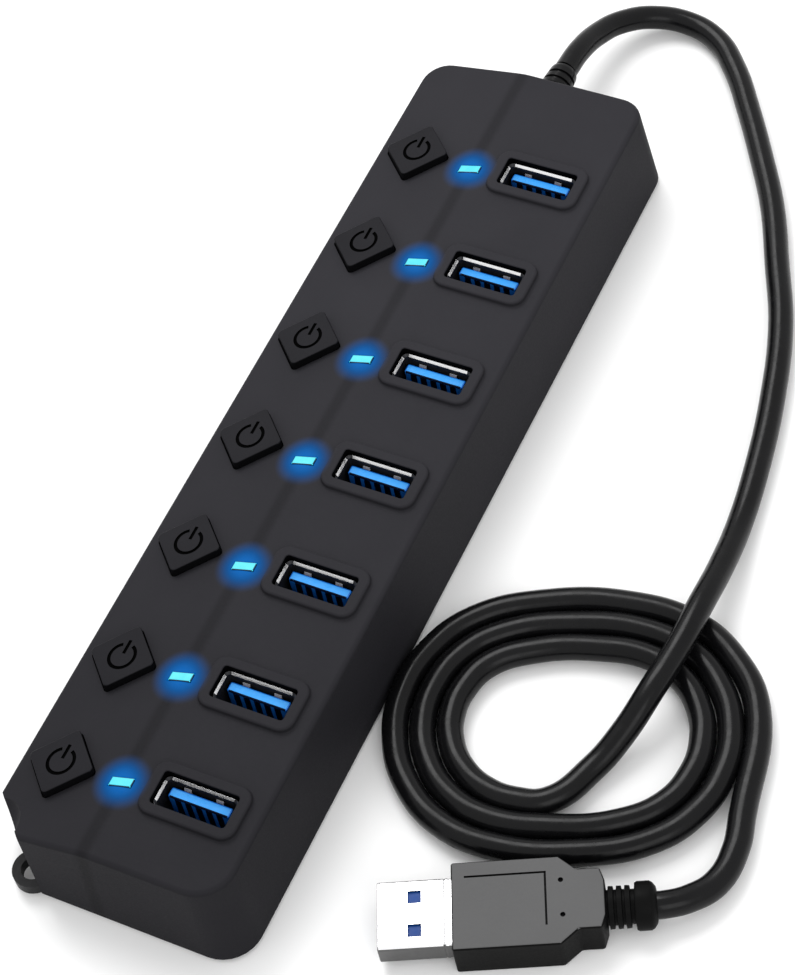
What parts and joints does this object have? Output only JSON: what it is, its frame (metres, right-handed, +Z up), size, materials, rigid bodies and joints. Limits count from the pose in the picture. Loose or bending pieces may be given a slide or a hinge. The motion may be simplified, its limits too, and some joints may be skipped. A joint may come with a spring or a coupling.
{
  "type": "usb hub",
  "caption": "Long wedge-topped USB hub with a row of upright sockets, a lit window and a square power button beside each, and a thin data cable ending in a plug.",
  "frame": {"origin": "bottom centre of the hub, on the surface its rubber feet stand on", "axes": "+X across the hub towards the sockets, +Y along it towards the cable, +Z up out of the sockets"},
  "size_m": [0.114, 0.2126, 0.0205],
  "materials": {
    "housing_plastic": "fine satin texture",
    "cover_plastic": "matte",
    "button_plastic": "satin, engraved power symbol",
    "light_cyan": "clear, lit from below",
    "socket_steel": "bright nickel plate",
    "tongue_blue": "satin",
    "board_green": "solder mask",
    "switch_black": "matte",
    "chip_black": "matte",
    "can_aluminium": "satin",
    "header_nylon": "satin",
    "screw_steel": "zinc plate",
    "foot_rubber": "matte",
    "cable_jacket": "smooth semi-gloss",
    "grip_plastic": "satin",
    "plug_steel": "bright nickel plate",
    "plug_blue": "satin"
  },
  "bodies": {
    "housing": {"top_shell": "housing_plastic", "bottom_cover": "cover_plastic", "case_screw_1": "screw_steel", "case_screw_2": "screw_steel", "case_screw_3": "screw_steel", "case_screw_4": "screw_steel", "rubber_foot_1": "foot_rubber", "rubber_foot_2": "foot_rubber", "rubber_foot_3": "foot_rubber", "rubber_foot_4": "foot_rubber", "usb_socket_shell_1": "socket_steel", "usb_socket_tongue_1": "tongue_blue", "button_switch_1": "switch_black", "light_window_1": "light_cyan", "usb_socket_shell_2": "socket_steel", "usb_socket_tongue_2": "tongue_blue", "button_switch_2": "switch_black", "light_window_2": "light_cyan", "usb_socket_shell_3": "socket_steel", "usb_socket_tongue_3": "tongue_blue", "button_switch_3": "switch_black", "light_window_3": "light_cyan", "usb_socket_shell_4": "socket_steel", "usb_socket_tongue_4": "tongue_blue", "button_switch_4": "switch_black", "light_window_4": "light_cyan", "usb_socket_shell_5": "socket_steel", "usb_socket_tongue_5": "tongue_blue", "button_switch_5": "switch_black", "light_window_5": "light_cyan", "usb_socket_shell_6": "socket_steel", "usb_socket_tongue_6": "tongue_blue", "button_switch_6": "switch_black", "light_window_6": "light_cyan", "usb_socket_shell_7": "socket_steel", "usb_socket_tongue_7": "tongue_blue", "button_switch_7": "switch_black", "light_window_7": "light_cyan", "circuit_board": "board_green", "hub_chip_1": "chip_black", "hub_chip_2": "chip_black", "crystal": "socket_steel", "power_capacitor": "can_aluminium", "cable_header": "header_nylon", "cable_strain_relief": "cable_jacket", "cable_run": "cable_jacket", "cable_coil": "cable_jacket", "cable_tail": "cable_jacket", "plug_grip": "grip_plastic", "plug_shell": "plug_steel", "plug_tongue": "plug_blue"},
    "button_1": {"power_button_1": "button_plastic"},
    "button_2": {"power_button_2": "button_plastic"},
    "button_3": {"power_button_3": "button_plastic"},
    "button_4": {"power_button_4": "button_plastic"},
    "button_5": {"power_button_5": "button_plastic"},
    "button_6": {"power_button_6": "button_plastic"},
    "button_7": {"power_button_7": "button_plastic"}
  },
  "joints": [
    {"name": "button_1_press", "type": "slide", "parent": "housing", "child": "button_1", "axis": [0, 0, -1], "range_m": [0, 0.0012], "stiffness_N_per_m": 400},
    {"name": "button_2_press", "type": "slide", "parent": "housing", "child": "button_2", "axis": [0, 0, -1], "range_m": [0, 0.0012], "stiffness_N_per_m": 400},
    {"name": "button_3_press", "type": "slide", "parent": "housing", "child": "button_3", "axis": [0, 0, -1], "range_m": [0, 0.0012], "stiffness_N_per_m": 400},
    {"name": "button_4_press", "type": "slide", "parent": "housing", "child": "button_4", "axis": [0, 0, -1], "range_m": [0, 0.0012], "stiffness_N_per_m": 400},
    {"name": "button_5_press", "type": "slide", "parent": "housing", "child": "button_5", "axis": [0, 0, -1], "range_m": [0, 0.0012], "stiffness_N_per_m": 400},
    {"name": "button_6_press", "type": "slide", "parent": "housing", "child": "button_6", "axis": [0, 0, -1], "range_m": [0, 0.0012], "stiffness_N_per_m": 400},
    {"name": "button_7_press", "type": "slide", "parent": "housing", "child": "button_7", "axis": [0, 0, -1], "range_m": [0, 0.0012], "stiffness_N_per_m": 400}
  ]
}
